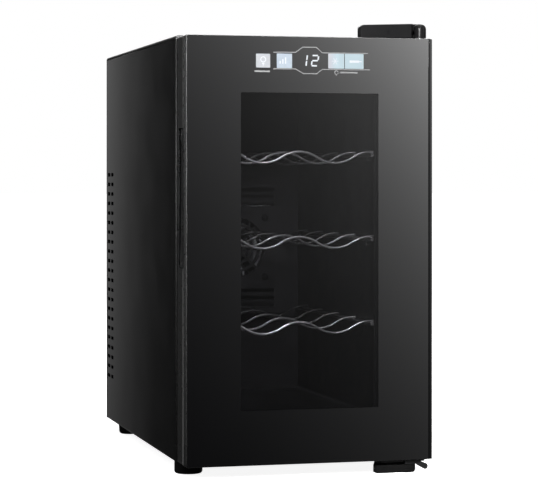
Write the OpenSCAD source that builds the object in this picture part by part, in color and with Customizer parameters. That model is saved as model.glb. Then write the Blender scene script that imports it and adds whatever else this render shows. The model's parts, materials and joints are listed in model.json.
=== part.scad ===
// Thermoelectric wine cooler with a glass door, free-standing.
// Millimetres. Origin at the middle of the footprint on the floor, +Z up, door facing -Y.

/* [Cabinet] */
// Width of the cabinet
body_w = 268; // [266:1:276]
// Height of the cabinet shell without feet
body_h = 452; // [450:1:460]
// Depth of the sheet steel shell behind the door
shell_d = 414; // [412:1:430]
// Thickness of the sheet steel shell
sheet_t = 1; // [0.6:0.1:1.2]
// Height of the feet
foot_h = 13; // [12:0.5:16]
// Half width of the bottle space
cav_hw = 86; // [85:0.5:88]

/* [Door] */
// Thickness of the door without its seal
door_t = 45; // [43:1:48]
// Space that the compressed seal takes
seal_t = 8; // [7:0.5:10]
// Thickness of the outer glass
glass_t = 4; // [3:0.5:4]
// Half width of the clear window
window_hw = 75; // [60:1:80]
// Sideways place of the hinge pins
pin_x = 125; // [124:0.5:126]
// Distance of the hinge pins behind the door's front face
pin_yd = 15; // [14:0.5:16]
// Radius of the hinge pins
pin_r = 3; // [2.5:0.1:3.2]

/* [Racks] */
// Diameter of the wavy rack wires
wire_d = 2.8; // [2.4:0.2:3.2]
// Height of the wave from trough to crest
wave_h = 12; // [8:1:14]
// Length of one wave, the pitch of two bottles
wave_l = 80; // [78:1:80]
// Distance between the wires from front to back
wire_pitch = 66; // [60:1:66]
// Mid height of the lowest rack
rack_z = 153; // [152:1:154]
// Height from one rack to the next
rack_pitch = 91.5; // [90:0.5:92]

/* [Cooling] */
// Height of the middle of the thermoelectric block
te_z = 230; // [225:1:235]
// Height of the middle of the outside fan
fan_z = 220; // [215:1:230]
// Blades on each fan
blades = 7; // [5:1:9]

/* [Vents] */
// Rows of slots in each side
vent_rows = 22; // [10:1:24]
// Height from one row to the next
vent_pitch = 11.9; // [10:0.1:11.9]
// Height of the lowest row above the floor
vent_z = 68; // [60:1:76]

/* [Hidden] */
$fn = 48;

hw = body_w / 2;
z0 = foot_h;
z1 = foot_h + body_h;
cab = door_t + seal_t;              // front of the cabinet, behind the door's face
back = cab + shell_d;               // rear edge of the shell
cover_t = 2;
spacer_l = 21;
depth = back + cover_t + spacer_l;
liner_t = 2;
cav_z0 = z0 + 42;
cav_z1 = z1 - 39;
cav_y0 = cab + 5;
cav_y1 = cav_y0 + 304;
pocket = 12;
foam_y1 = back - 65;
te_y = foam_y1 - 2;                 // cold face of the module
base_y = te_y + 3.6;                // hot face of the module
dhw = hw + 0.4;
dz0 = z0 + 0.6;
dz1 = z1 - 2.6;
lip_hw = cav_hw + 1;
lip_z0 = cav_z0 + 3;
lip_z1 = cav_z1 - 12;
pane_hw = lip_hw + 5.5;
pane_z0 = lip_z0 - 6;
pane_z1 = lip_z1 + 6;
bezel_t = 4;
frame_y = glass_t + bezel_t;
pane_y = frame_y + 8;
grip_z0 = 219;
grip_z1 = 366;
key_z0 = dz1 - 33;
touch_z0 = dz1 - 38.4;
touch_z1 = dz1 - 5.4;
rail_r = 2;
rack_y = cab - 5;                   // first wire of a pushed-in rack
rail_x = wave_l + 1.5;
wave_r = (pow(wave_l / 4, 2) + pow(wave_h / 2, 2)) / wave_h;
wave_a = asin(wave_l / 4 / wave_r);
fin_l = 36;
top_screws = [[86, 70], [102, 92], [116, 70]];
foot_at = [[96, 22], [103, 46]];     // screws through the foot under the hinge
clamp_at = [for (x = [-29, 29], z = [-29, 29]) [x, te_z + z]];
black = [0.09, 0.09, 0.1];
soft_black = [0.14, 0.14, 0.15];
steel = [0.62, 0.63, 0.65];
alu = [0.75, 0.76, 0.78];

// everything below is placed by its distance behind the door's front face
module place() { translate([0, -depth / 2, 0]) children(); }

module box(x0, x1, y0, y1, za, zb) { translate([x0, y0, za]) cube([x1 - x0, y1 - y0, zb - za]); }

// a flat outline in X and Z, drawn from y0 to y1
module along_y(y0, y1) { translate([0, y1, 0]) rotate([90, 0, 0]) linear_extrude(y1 - y0) children(); }

// a flat outline in Y and Z, drawn from x0 to x1
module along_x(x0, x1) { translate([x0, 0, 0]) rotate([90, 0, 90]) linear_extrude(x1 - x0) children(); }

module pin_y(x, z, r, y0, y1) { translate([x, y1, z]) rotate([90, 0, 0]) cylinder(r = r, h = y1 - y0); }
module pin_z(x, y, r, za, zb) { translate([x, y, za]) cylinder(r = r, h = zb - za); }

// rectangle with round corners between two opposite corners
module rect2(xa, xb, ya, yb, r) {
  translate([xa + r, ya]) square([xb - xa - 2 * r, yb - ya]);
  translate([xa, ya + r]) square([xb - xa, yb - ya - 2 * r]);
  for (x = [xa + r, xb - r], y = [ya + r, yb - r]) translate([x, y]) circle(r);
}

// rectangle whose two upper corners are round
module arch2(w, ya, yb, r) {
  translate([-w, ya]) square([2 * w, yb - ya - r]);
  translate([-w + r, ya]) square([2 * (w - r), yb - ya]);
  for (s = [-1, 1]) translate([s * (w - r), yb - r]) circle(r);
}

// slot with round ends, long side along the first axis
module slot2(l, w) {
  square([l - w, w], center = true);
  for (s = [-1, 1]) translate([s * (l - w) / 2, 0]) circle(w / 2, $fn = 24);
}

// ---------------------------------------------------------------- cabinet

module vent_field() {
  for (i = [0 : vent_rows - 1], k = [0, 1])
    translate([back - 15.5 - k * 22.5, vent_z + i * vent_pitch]) slot2(17 - k, 4.5);
}

module side_panel(s) {
  x = s * hw;
  difference() {
    union() {
      box(min(x, x - s * sheet_t), max(x, x - s * sheet_t), cab, back, z0, z1 - 3);
      for (y = [cab, back - sheet_t]) box(min(x, x - s * 14), max(x, x - s * 14), y, y + sheet_t, z0, z1 - 3);
    }
    along_x(x - 2, x + 2) vent_field();
    for (z = [z0 + 10, z0 + body_h / 2, z1 - 10]) pin_y(s * (hw - 8), z, 1.9, back - 3, back + 1);
  }
}

module left_side_panel() { color(black) place() side_panel(-1); }
module right_side_panel() { color(black) place() side_panel(1); }

module top_panel() {
  color(black) place() difference() {
    union() {
      along_y(cab, back) intersection() {
        difference() {
          arch2(hw, z0, z1, 3);
          arch2(hw - sheet_t, z0 - 1, z1 - sheet_t, 3 - sheet_t);
        }
        translate([-hw - 1, z1 - 2.95]) square([2 * hw + 2, 5]);
      }
      for (y = [cab, back - sheet_t]) {
        box(-hw + 14.1, hw - 14.1, y, y + sheet_t, z1 - 14, z1 - 0.5);
        box(-hw + 1.5, hw - 1.5, y, y + sheet_t, z1 - 2.9, z1 - 0.9);
      }
    }
    for (p = top_screws) pin_z(p[0], p[1] + cab - 53, 2.1, z1 - sheet_t - 1, z1 + 1);
  }
}

module base_pan() {
  w = hw - sheet_t - 0.1;
  color(soft_black) place() difference() {
    union() {
      box(-w, w, cab + sheet_t + 0.1, back - sheet_t - 0.1, z0, z0 + 1.2);
      box(-hw + 14.1, hw - 14.1, cab, cab + 2, z0, z0 + 14.4);
      box(-hw + 14.1, hw - 14.1, cab, cab + 4, z0, z0 + 1.2);
      for (s = [-1, 1]) box(s > 0 ? w - 1.2 : -w, s > 0 ? w : -w + 1.2, cab + 5, back - sheet_t - 0.1, z0, z0 + 17);
      box(-hw + 14.2, hw - 14.2, back - 2.2, back - 0.2, z0, z0 + 17);
      // stand-offs for the power board
      for (x = [-105, -25], y = [back - 52, back - 14]) pin_z(x, y, 3, z0 + 1, z0 + 17);
    }
    for (s = [-1, 1]) pin_z(s * (hw - 18), back - 60, 2.1, z0 - 1, z0 + 3);
    pin_z(-hw + 15, cab + 10, 2.1, z0 - 1, z0 + 3);
    for (p = [[85, 64], [103, 64], [85, 92], [103, 92]]) pin_z(p[0], p[1], 2.1, z0 - 1, z0 + 3);
    // air intake under the rear compartment
    for (i = [0 : 4], x = [20, 75]) translate([x, back - 52 + i * 9, z0 - 1]) linear_extrude(4) slot2(44, 4.4);
  }
}

module front_frame() {
  color(soft_black) place() along_y(cab, cav_y0) difference() {
    translate([-hw + 14.2, z0 + 14.6]) square([2 * (hw - 14.2), body_h - 28.8]);
    rect2(-cav_hw, cav_hw, cav_z0, cav_z1, 5);
  }
}

module rack_ledges() {
  for (i = [0 : 2], s = [-1, 1]) {
    zt = rack_z + i * rack_pitch + wave_h / 2 - wire_d / 2 - 2 * rail_r - 0.1;
    box(s > 0 ? rail_x - 2.4 : -cav_hw - 0.5, s > 0 ? cav_hw + 0.5 : -rail_x + 2.4, cav_y0 + 2, cav_y1 - 12, zt - 4, zt);
    // end stop behind the rail
    box(s > 0 ? rail_x - 2.4 : -cav_hw - 0.5, s > 0 ? cav_hw + 0.5 : -rail_x + 2.4, rack_y + 269, rack_y + 273, zt - 1, zt + 7);
  }
}

module inner_liner() {
  o = liner_t;
  color([0.16, 0.16, 0.17]) place() {
    difference() {
      union() {
        along_y(cav_y0, cav_y1 + o) rect2(-cav_hw - o, cav_hw + o, cav_z0 - o, cav_z1 + o, 7);
        box(-68, 68, cav_y1, cav_y1 + pocket + o, te_z - 67, te_z + 67);
      }
      along_y(cav_y0 - 1, cav_y1) rect2(-cav_hw, cav_hw, cav_z0, cav_z1, 5);
      box(-66, 66, cav_y1 - 1, cav_y1 + pocket, te_z - 65, te_z + 65);
      box(-23.5, 23.5, cav_y1, cav_y1 + pocket + o + 1, te_z - 23.5, te_z + 23.5);
      for (p = clamp_at) pin_y(p[0], p[1], 2.6, cav_y1 + pocket - 1, cav_y1 + pocket + o + 1);
    }
    intersection() {
      rack_ledges();
      along_y(cav_y0, cav_y1 + o) rect2(-cav_hw - o / 2, cav_hw + o / 2, cav_z0 - o / 2, cav_z1 + o / 2, 6);
    }
  }
}

module insulation_foam() {
  w = hw - sheet_t;
  t = z1 - sheet_t;
  color([0.92, 0.86, 0.62]) place() difference() {
    along_y(cav_y0, foam_y1) polygon([[-w, z0 + 17.2], [w, z0 + 17.2], [w, t - 3], [w - 3, t], [-w + 3, t], [-w, t - 3]]);
    along_y(cav_y0 - 1, cav_y1 + liner_t) rect2(-cav_hw - liner_t, cav_hw + liner_t, cav_z0 - liner_t, cav_z1 + liner_t, 6);
    for (p = clamp_at) pin_y(p[0], p[1], 2.6, cav_y1 + pocket, foam_y1 + 1);
    box(-68, 68, cav_y1, cav_y1 + pocket + liner_t, te_z - 67, te_z + 67);
    box(-23.5, 23.5, cav_y1, foam_y1 + 1, te_z - 23.5, te_z + 23.5);
    for (p = top_screws) pin_z(p[0], p[1] + cab - 53, 2.6, t - 12, t + 1);
  }
}

module back_plate() {
  w = hw - sheet_t - 0.1;
  color(steel) place() difference() {
    along_y(foam_y1, foam_y1 + 0.8) polygon([[-w, z0 + 17.2], [w, z0 + 17.2], [w, z1 - 5], [w - 3, z1 - 2], [-w + 3, z1 - 2], [-w, z1 - 5]]);
    box(-23.5, 23.5, foam_y1 - 1, foam_y1 + 2, te_z - 23.5, te_z + 23.5);
    for (p = clamp_at) pin_y(p[0], p[1], 3, foam_y1 - 1, foam_y1 + 2);
  }
}

module fan_grille2(r) {
  for (i = [0 : floor((r - 8) / 9.2)]) difference() {
    circle(r - i * 9.2);
    circle(r - i * 9.2 - 5.8);
    for (j = [0 : 3]) rotate(j * 45) square([2.6 * r, 2.6], center = true);
  }
}

module rear_cover() {
  color(soft_black) place() difference() {
    along_y(back, back + cover_t) arch2(hw, z0, z1, 3);
    translate([0, 0, fan_z]) along_y(back - 1, back + 3) fan_grille2(57);
    for (i = [0 : 6], s = [-1, 1]) along_y(back - 1, back + 3) translate([s * 55, z1 - 36 - i * 10]) slot2(74, 4.4);
    for (i = [0 : 3]) along_y(back - 1, back + 3) translate([-55, z0 + 30 + i * 10]) slot2(74, 4.4);
    along_y(back - 1, back + 3) rect2(56.3, 83.7, z0 + 22.1, z0 + 41.9, 2);
    for (x = [-hw + 8, hw - 8], z = [z0 + 10, z0 + body_h / 2, z1 - 10]) pin_y(x, z, 1.9, back - 1, back + 3);
    for (x = [50, 90]) pin_y(x, z0 + 32, 1.6, back - 1, back + 3);
    for (x = [-52.5, 52.5], z = [-52.5, 52.5]) pin_y(x, fan_z + z, 2.2, back - 1, back + 3);
  }
}

module wall_spacers() {
  color(soft_black) place() for (x = [-hw + 26, hw - 26], z = [z0 + 46, z1 - 26]) translate([x, back + cover_t, z])
    rotate([-90, 0, 0]) rotate_extrude() polygon([[0, 0], [11, 0], [11, 2], [8, 4], [7, spacer_l - 2], [5.5, spacer_l], [0, spacer_l]]);
}

module pan_screw(r, l) {
  // head towards +Z, shank down
  difference() {
    union() {
      translate([0, 0, -l]) cylinder(r = r, h = l + 0.2);
      rotate_extrude() polygon([[0, 0], [r * 2.1, 0], [r * 2.1, r * 0.7], [r * 1.5, r * 1.25], [0, r * 1.4]]);
    }
    for (a = [0, 90]) rotate(a) translate([-r * 1.1, -r * 0.2, r * 0.6]) cube([r * 2.2, r * 0.4, r]);
  }
}

module rear_cover_screws() {
  color(steel) place() {
    for (x = [-hw + 8, hw - 8], z = [z0 + 10, z0 + body_h / 2, z1 - 10]) translate([x, back + cover_t, z]) rotate([-90, 0, 0]) pan_screw(1.75, 8);
    for (x = [50, 90]) translate([x, back + cover_t + 3, z0 + 32]) rotate([-90, 0, 0]) pan_screw(1.45, 8);
  }
}

// ---------------------------------------------------------------- feet

module front_left_foot() {
  color(soft_black) place() translate([-hw + 15.8, cab + 10, 0]) difference() {
    rotate_extrude() polygon([[0, 0], [13.4, 0], [15, 1.8], [15, z0], [0, z0]]);
    translate([-0.8, 0, -1]) cylinder(r = 2.1, h = z0 + 2);
    translate([-0.8, 0, -1]) cylinder(r = 5, h = 6);
  }
}

module hinge_foot() {
  zt = z0 - 4.4;
  color(soft_black) place() difference() {
    union() {
      intersection() {
        along_y(5, 58) rect2(70.5, 117.6, 0.3, zt + 8, 4);
        linear_extrude(zt) polygon([[70.5, 8], [73.5, 5], [114.6, 5], [117.6, 8], [117.6, 58], [88.5, 58]]);
      }
      // pad on the floor
      pin_z(107.4, 11.2, 7, 0, 3);
      // seat under the hinge plate
      translate([0, 0, zt - 0.5]) linear_extrude(2.9) polygon([[86, 14], [112, 14], [112, 54], [97, 54]]);
    }
    for (p = foot_at) {
      pin_z(p[0], p[1], 2.1, -1, z0);
      pin_z(p[0], p[1], 5, -1, 5);
    }
  }
}

module rear_feet() {
  color(soft_black) place() for (s = [-1, 1]) translate([s * (hw - 18), back - 60, 0]) difference() {
    rotate_extrude() polygon([[0, 0], [11, 0], [13, 2], [14, z0], [0, z0]]);
    translate([0, 0, -1]) cylinder(r = 2.1, h = z0 + 2);
    translate([0, 0, -1]) cylinder(r = 5, h = 6);
  }
}

module foot_screws() {
  color(steel) place() {
    for (p = [[-hw + 15, cab + 10], [-hw + 18, back - 60], [hw - 18, back - 60]])
      translate([p[0], p[1], 4.8]) rotate([180, 0, 0]) pan_screw(2, 13);
    for (p = foot_at) translate([p[0], p[1], 4.8]) rotate([180, 0, 0]) pan_screw(2, 7.6);
  }
}

// ---------------------------------------------------------------- thermoelectric unit

module hot_heatsink() {
  color(alu) place() difference() {
    union() {
      box(-75, 75, base_y, base_y + 5.4, fan_z - 100, fan_z + 100);
      for (i = [0 : 28]) box(-75, 75, base_y + 5, base_y + fin_l, fan_z - 98.7 + i * 7, fan_z - 97.3 + i * 7);
    }
    for (p = clamp_at) {
      pin_y(p[0], p[1], 2.2, base_y - 1, base_y + 6);
      pin_y(p[0], p[1], 5, base_y + 5.4, base_y + fin_l + 1);
    }
  }
}

// square axial fan housing, its back at y0, centred on the origin in X and Z
module fan_frame(w, t, r, hole) {
  difference() {
    union() {
      difference() {
        along_y(0, t) rect2(-w / 2, w / 2, -w / 2, w / 2, 5);
        pin_y(0, 0, r, -1, t + 1);
      }
      // motor plate and its struts
      intersection() {
        pin_y(0, 0, r + 1, 0, 3);
        for (a = [45, 135]) rotate([0, a, 0]) box(-w, w, 0, 3, -2, 2);
      }
      pin_y(0, 0, r * 0.33, 0, 4);
      pin_y(0, 0, 3, 3, t - 5);
    }
    for (x = [-hole, hole], z = [-hole, hole]) pin_y(x, z, 2.2, -1, t + 1);
  }
}

// impeller with its bore on the housing's spindle
module fan_rotor(r, hub, t, tilt) {
  difference() {
    union() {
      pin_y(0, 0, hub, 5, t - 2);
      intersection() {
        pin_y(0, 0, r - 1.2, 5, t - 2);
        for (i = [0 : blades - 1]) rotate([0, i * 360 / blades, 0]) translate([hub - 3, (t + 3) / 2, 0]) rotate([tilt, 0, 0])
          translate([0, -t, -0.8]) cube([r, 2 * t, 1.6]);
      }
    }
    pin_y(0, 0, 3.06, 4, t - 4);
  }
}

module hot_fan_frame() { color(soft_black) place() translate([0, back - 25.5, fan_z]) fan_frame(120, 25, 57.5, 52.5); }
module hot_fan_rotor() { color([0.2, 0.2, 0.21]) place() translate([0, back - 25.5, fan_z]) fan_rotor(57.5, 20, 25, 42); }

module peltier_module() { color([0.93, 0.93, 0.9]) place() box(-20, 20, te_y, base_y, te_z - 20, te_z + 20); }

module module_gasket() {
  color([0.25, 0.25, 0.26]) place() difference() {
    box(-23, 23, te_y, base_y, te_z - 23, te_z + 23);
    box(-20.4, 20.4, te_y - 1, base_y + 1, te_z - 20.4, te_z + 20.4);
  }
}

module cold_block() { color(alu) place() box(-21.5, 21.5, cav_y1 + pocket, te_y, te_z - 21.5, te_z + 21.5); }

module cold_heatsink() {
  y1 = cav_y1 + pocket;
  color(alu) place() difference() {
    union() {
      box(-50, 50, y1 - 5, y1, te_z - 50, te_z + 50);
      for (i = [0 : 14]) box(-49.7 + i * 7, -48.3 + i * 7, y1 - 22, y1 - 4.5, te_z - 50, te_z + 50);
    }
    for (p = clamp_at) {
      pin_y(p[0], p[1], 1.95, y1 - 6, y1 + 1);
      pin_y(p[0], p[1], 3, y1 - 23, y1 - 5);
    }
  }
}

module clamp_screws() {
  color(steel) place() for (p = clamp_at) translate([p[0], base_y + 5.4, p[1]]) rotate([-90, 0, 0]) pan_screw(1.9, 41);
}

module cold_fan_frame() { color(soft_black) place() translate([0, cav_y1 - 11.5, te_z]) mirror([0, 1, 0]) fan_frame(80, 14, 37.5, 35.7); }
module cold_fan_rotor() { color([0.2, 0.2, 0.21]) place() translate([0, cav_y1 - 11.5, te_z]) mirror([0, 1, 0]) fan_rotor(37.5, 15, 14, 40); }

module air_duct_cover() {
  yf = cav_y1 - 31;
  color([0.13, 0.13, 0.14]) place() difference() {
    along_y(yf, cav_y1) rect2(-62, 62, te_z - 80, te_z + 80, 9);
    along_y(yf + 2, cav_y1 + 1) rect2(-60, 60, te_z - 78, te_z + 78, 7);
    // intake over the fan
    translate([0, 0, te_z]) along_y(yf - 1, yf + 3) fan_grille2(36);
    // air outlets above and below
    for (i = [0 : 2], s = [-1, 1]) translate([0, 0, te_z + s * (52 + i * 9)]) along_y(yf - 1, yf + 3) slot2(96, 4.4);
    for (x = [-35.7, 35.7], z = [-35.7, 35.7]) pin_y(x, te_z + z, 2.2, yf - 1, yf + 3);
  }
}

module fan_screws() {
  color(steel) place() {
    for (x = [-52.5, 52.5], z = [-52.5, 52.5]) translate([x, back + cover_t, fan_z + z]) rotate([-90, 0, 0]) pan_screw(2, 22);
    for (x = [-35.7, 35.7], z = [-35.7, 35.7]) translate([x, cav_y1 - 31, te_z + z]) rotate([90, 0, 0]) pan_screw(2, 12);
  }
}

// ---------------------------------------------------------------- electrics

module power_board() {
  zb = z0 + 17;
  color([0.1, 0.35, 0.2]) place() {
    difference() {
      box(-112, -18, back - 58, back - 8, zb, zb + 1.6);
      for (x = [-105, -25], y = [back - 52, back - 14]) pin_z(x, y, 1.6, zb - 1, zb + 3);
    }
    box(-78, -48, back - 48, back - 20, zb + 1.6, zb + 24);
    box(-98, -86, back - 44, back - 26, zb + 1.6, zb + 15);
    for (y = [back - 42, back - 26]) pin_z(-36, y, 6, zb + 1.6, zb + 21);
    box(-46, -43, back - 46, back - 18, zb + 1.6, zb + 20);
  }
}

module power_inlet() {
  yo = back + cover_t;
  zc = z0 + 32;
  color([0.06, 0.06, 0.07]) place() {
    difference() {
      union() {
        along_y(yo, yo + 3) rect2(45, 95, zc - 11.5, zc + 11.5, 3);
        along_y(yo - 22, yo + 0.5) rect2(56.5, 83.5, zc - 9.7, zc + 9.7, 2);
      }
      along_y(yo - 14, yo + 4) polygon([[57.8, zc - 8.3], [82.2, zc - 8.3], [82.2, zc + 4.4], [78.2, zc + 8.3], [61.8, zc + 8.3], [57.8, zc + 4.4]]);
      for (x = [50, 90]) pin_y(x, zc, 1.6, yo - 1, yo + 4);
    }
    for (p = [[63, -2.4], [77, -2.4], [70, 1.6]]) box(70 + p[0] - 71, 70 + p[0] - 69, yo - 15, yo - 2, zc + p[1] - 2, zc + p[1] + 2);
  }
}

module lamp_lens() {
  color([0.9, 0.95, 1]) place() difference() {
    box(-34, 34, cav_y0 + 12, cav_y0 + 28, cav_z1 - 4.5, cav_z1);
    box(-32.8, 32.8, cav_y0 + 13.2, cav_y0 + 26.8, cav_z1 - 3.3, cav_z1 + 1);
  }
}

module lamp_board() {
  color([0.95, 0.95, 0.9]) place() {
    box(-31, 31, cav_y0 + 15, cav_y0 + 25, cav_z1 - 1.2, cav_z1);
    for (i = [-2 : 2]) box(i * 12 - 1.75, i * 12 + 1.75, cav_y0 + 18.2, cav_y0 + 21.8, cav_z1 - 2.4, cav_z1 - 1.2);
  }
}

module temperature_sensor() {
  zs = te_z + 92;
  color([0.85, 0.85, 0.83]) place() difference() {
    along_y(cav_y1 - 8, cav_y1) rect2(-62, -46, zs - 5, zs + 7, 2);
    for (i = [0 : 3]) box(-59 + i * 3.4, -57.6 + i * 3.4, cav_y1 - 9, cav_y1 - 6, zs - 2, zs + 4);
  }
}

// flat cables taped along the back plate, 1.6 mm thick
module wiring_loom() {
  ya = foam_y1 + 1;
  yb = ya + 1.6;
  color([0.75, 0.1, 0.1]) place() {
    // board to module and fans
    box(-96, -88, ya, back - 36, z0 + 44, z0 + 45.6);
    box(-96, -88, back - 37.6, back - 36, z0 + 32.2, z0 + 45.6);
    box(-96, -88, ya, yb, z0 + 44, te_z + 12);
    box(-96, -75.5, ya, yb, te_z + 4, te_z + 12);
    // board to the touch panel, up to the hinge corner
    box(-112, -106, ya, yb, z0 + 30, z1 - 16);
    box(-112, 100, ya, yb, z1 - 22, z1 - 16);
    box(-112, -106, ya, back - 44, z0 + 28.4, z0 + 30);
    box(-112, -106, back - 45.6, back - 44, z0 + 18.8, z0 + 30);
    // inlet to board
    box(-60, -52, back - 30, back - 28.4, z0 + 41.2, z0 + 52);
    box(-60, 66, back - 30, back - 28.4, z0 + 50.4, z0 + 52);
    box(58, 66, back - 30, back - 18, z0 + 50.4, z0 + 52);
    box(58, 66, back - 19.6, back - 18, z0 + 42, z0 + 52);
  }
}

// ---------------------------------------------------------------- hinges

module top_hinge_bracket() {
  color(steel) place() difference() {
    union() {
      translate([0, 0, z1]) linear_extrude(2.5) polygon([[76, 58], [91, 104], [124, 104], [129, 99], [129.5, 30], [pin_x + 3, pin_yd - 1], [pin_x - 3.5, pin_yd - 1], [108, 50]]);
      pin_z(pin_x, pin_yd, 5, z1, z1 + 2.5);
    }
    for (p = top_screws) pin_z(p[0], p[1] + cab - 53, 2.1, z1 - 1, z1 + 4);
    pin_z(pin_x, pin_yd, pin_r + 0.05, z1 - 1, z1 + 4);
  }
}

module top_hinge_pin() {
  color(steel) place() {
    pin_z(pin_x, pin_yd, pin_r, dz1 - 11, z1 + 2.5);
    pin_z(pin_x, pin_yd, 4.4, z1 + 2.5, z1 + 5);
  }
}

module cover_outline(g) {
  // front outline in X and Z: the top rises slightly towards the hinge side
  x0 = 55 + g;
  x1 = 132 - g;
  polygon(concat(
    [[x0, z1 - 1.4 - 3 * g], [x0, z1 + 4.9 - g]],
    [for (a = [168 : -13 : 103]) [x0 + 6.7 + 6.7 * cos(a), z1 + 4.9 - g + 6.7 * sin(a)]],
    [[x0 + 6.7, z1 + 11.6 - g]],
    [[x1 - 6, z1 + 14 - g]],
    [for (a = [80 : -16 : 0]) [x1 - 6 + 6 * cos(a), z1 + 8 - g + 6 * sin(a)]],
    [[x1, z1 - 1.4 - 3 * g]]));
}

// rectangle with bevelled corners, seen from above
module plan2(xa, xb, ya, yb, r) {
  polygon([for (c = [[xb - r, yb - r, 0], [xa + r, yb - r, 90], [xa + r, ya + r, 180], [xb - r, ya + r, 270]], a = [0 : 30 : 90])
    [c[0] + r * cos(c[2] + a), c[1] + r * sin(c[2] + a)]]);
}

module cover_body(g) {
  intersection() {
    along_y(5, 115) cover_outline(g);
    translate([0, 0, z1 - 6]) linear_extrude(24)
      polygon([[55 + 1.1 * g, 14 + 0.3 * g], [58 + 0.5 * g, 11 + g], [114 - 0.5 * g, 11 + g], [117 - 0.9 * g, 14 + 0.3 * g], [117 - 0.9 * g, 112 - g], [91 + 0.3 * g, 112 - g], [87 + 0.9 * g, 109 - 0.5 * g]]);
  }
  intersection() {
    along_y(5, 115) cover_outline(g);
    translate([0, 0, z1 - 6]) linear_extrude(24) plan2(100, 132.5 - g, pin_yd + 3 + g, 112 - g, 3);
  }
}

module top_hinge_cover() {
  color([0.1, 0.1, 0.11]) place() difference() {
    union() {
      cover_body(0);
      translate([pin_x, pin_yd + 0.5, z1]) rotate_extrude() polygon([[0, -1.4], [7, -1.4], [7, 8.2], [6.7, 9.9], [5.9, 11.4], [4.6, 12.6], [2.8, 13.4], [0, 13.7]]);
    }
    cover_body(1.8);
    pin_z(pin_x, pin_yd + 0.5, 5.8, z1 - 7, z1 + 7);
    // way for the hinge plate between body and boss
    box(112, 129.6, 13.4, 24, z1 - 7, z1 + 5.6);
    // the skirt behind the door stands on the cabinet's top
    box(50, 140, cab - 1, 120, z1 - 6, z1);
  }
}

module bottom_hinge_bracket() {
  zb = z0 - 2;
  color(steel) place() difference() {
    union() {
      translate([0, 0, zb]) linear_extrude(2) union() {
        polygon([[76, 10], [79, 7], [116, 7], [pin_x - 2, pin_yd - 4.8], [130, pin_yd + 1.5], [122, 60], [122, 104], [118, 108], [80, 108], [76, 104]]);
        translate([pin_x, pin_yd]) circle(5.2);
      }
      // stop tab bent down beside the pin
      along_y(5, 11.5) polygon([[105, zb + 1.9], [105, 9.2], [117.9, 9.2], [120.4, 7], [127.4, 3], [129.8, 3.6], [130.7, 5.8], [130, 8.6], [122.6, zb + 0.7], [119, zb + 1.9]]);
    }
    for (p = [[85, 64], [103, 64], [85, 92], [103, 92]]) pin_z(p[0], p[1], 2.1, zb - 1, z0 + 1);
    for (p = foot_at) pin_z(p[0], p[1], 2.1, zb - 1, z0 + 1);
    pin_z(pin_x, pin_yd, pin_r + 0.05, zb - 8, z0 + 1);
  }
}

module bottom_hinge_pin() {
  color(steel) place() {
    pin_z(pin_x, pin_yd, pin_r, z0 - 2, dz0 + 10);
  }
}

module hinge_screws() {
  color(steel) place() {
    for (p = top_screws) translate([p[0], p[1] + cab - 53, z1 + 2.5]) pan_screw(2, 10);
    for (p = [[85, 64], [103, 64], [85, 92], [103, 92]]) translate([p[0], p[1], z0 - 2]) rotate([180, 0, 0]) pan_screw(2, 9);
  }
}

// ---------------------------------------------------------------- door

module outer_glass() { color([0.05, 0.05, 0.06, 0.6]) place() along_y(0, glass_t) rect2(-dhw + 0.3, dhw - 0.3, dz0 + 0.3, dz1 - 0.3, 2); }

module door_bezel() {
  color(black) place() along_y(glass_t, frame_y) difference() {
    rect2(-dhw, dhw, dz0, dz1, 2);
    translate([-pane_hw, pane_z0]) square([2 * pane_hw, pane_z1 - pane_z0]);
    translate([-72, touch_z0]) square([146, touch_z1 - touch_z0]);
  }
}

module door_frame() {
  color(soft_black) place() difference() {
    union() {
      along_y(frame_y, door_t) rect2(-dhw + 0.4, dhw - 0.4, dz0 + 0.4, dz1 - 0.4, 2);
      // raised bead round the outside
      along_y(frame_y + 4.5, frame_y + 10.5) rect2(-dhw, dhw, dz0, dz1, 2);
    }
    box(-pane_hw, pane_hw, frame_y - 1, pane_y + 3, pane_z0, pane_z1);
    along_y(frame_y, door_t + 1) rect2(-lip_hw, lip_hw, lip_z0, lip_z1, 5);
    box(-72, 74, frame_y - 1, frame_y + 8, touch_z0, touch_z1);
    // finger pocket in the free side
    along_x(-dhw - 1, -dhw + 14) rect2(frame_y + 5.5, door_t - 6, grip_z0, grip_z1, 3);
    // seats for the hinge bushings
    pin_z(pin_x, pin_yd, 5.2, dz0 - 1, dz0 + 13);
    pin_z(pin_x, pin_yd, 5.2, dz1 - 13, dz1 + 1);
    for (z = [grip_z0 + 6, grip_z1 - 6]) translate([-dhw + 13, frame_y + 15.5, z]) rotate([0, 90, 0]) cylinder(r = 1.5, h = 12);
  }
}

module inner_glass() { color([0.5, 0.55, 0.6, 0.4]) place() box(-pane_hw + 0.3, pane_hw - 0.3, pane_y, pane_y + 3, pane_z0 + 0.3, pane_z1 - 0.3); }

module glazing_spacer() {
  color(alu) place() difference() {
    box(-pane_hw + 0.6, pane_hw - 0.6, glass_t, pane_y, pane_z0 + 0.6, pane_z1 - 0.6);
    box(-pane_hw + 7, pane_hw - 7, glass_t - 1, pane_y + 1, pane_z0 + 7, pane_z1 - 7);
  }
}

module seal_ring(w0, w1, y0, y1) {
  // rectangular ring between two distances from the door's edge
  difference() {
    box(-dhw + w0, dhw - w0, y0, y1, dz0 + w0, dz1 - w0);
    box(-dhw + w1, dhw - w1, y0 - 1, y1 + 1, dz0 + w1, dz1 - w1);
  }
}

module door_gasket() {
  color([0.12, 0.12, 0.12]) place() difference() {
    union() {
      seal_ring(12.5, 28, door_t, door_t + 3);
      seal_ring(14, 26, door_t + 2.5, cab - 0.3);
    }
    seal_ring(16.5, 22.5, door_t - 1, cab - 2.5);
  }
}

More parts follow.
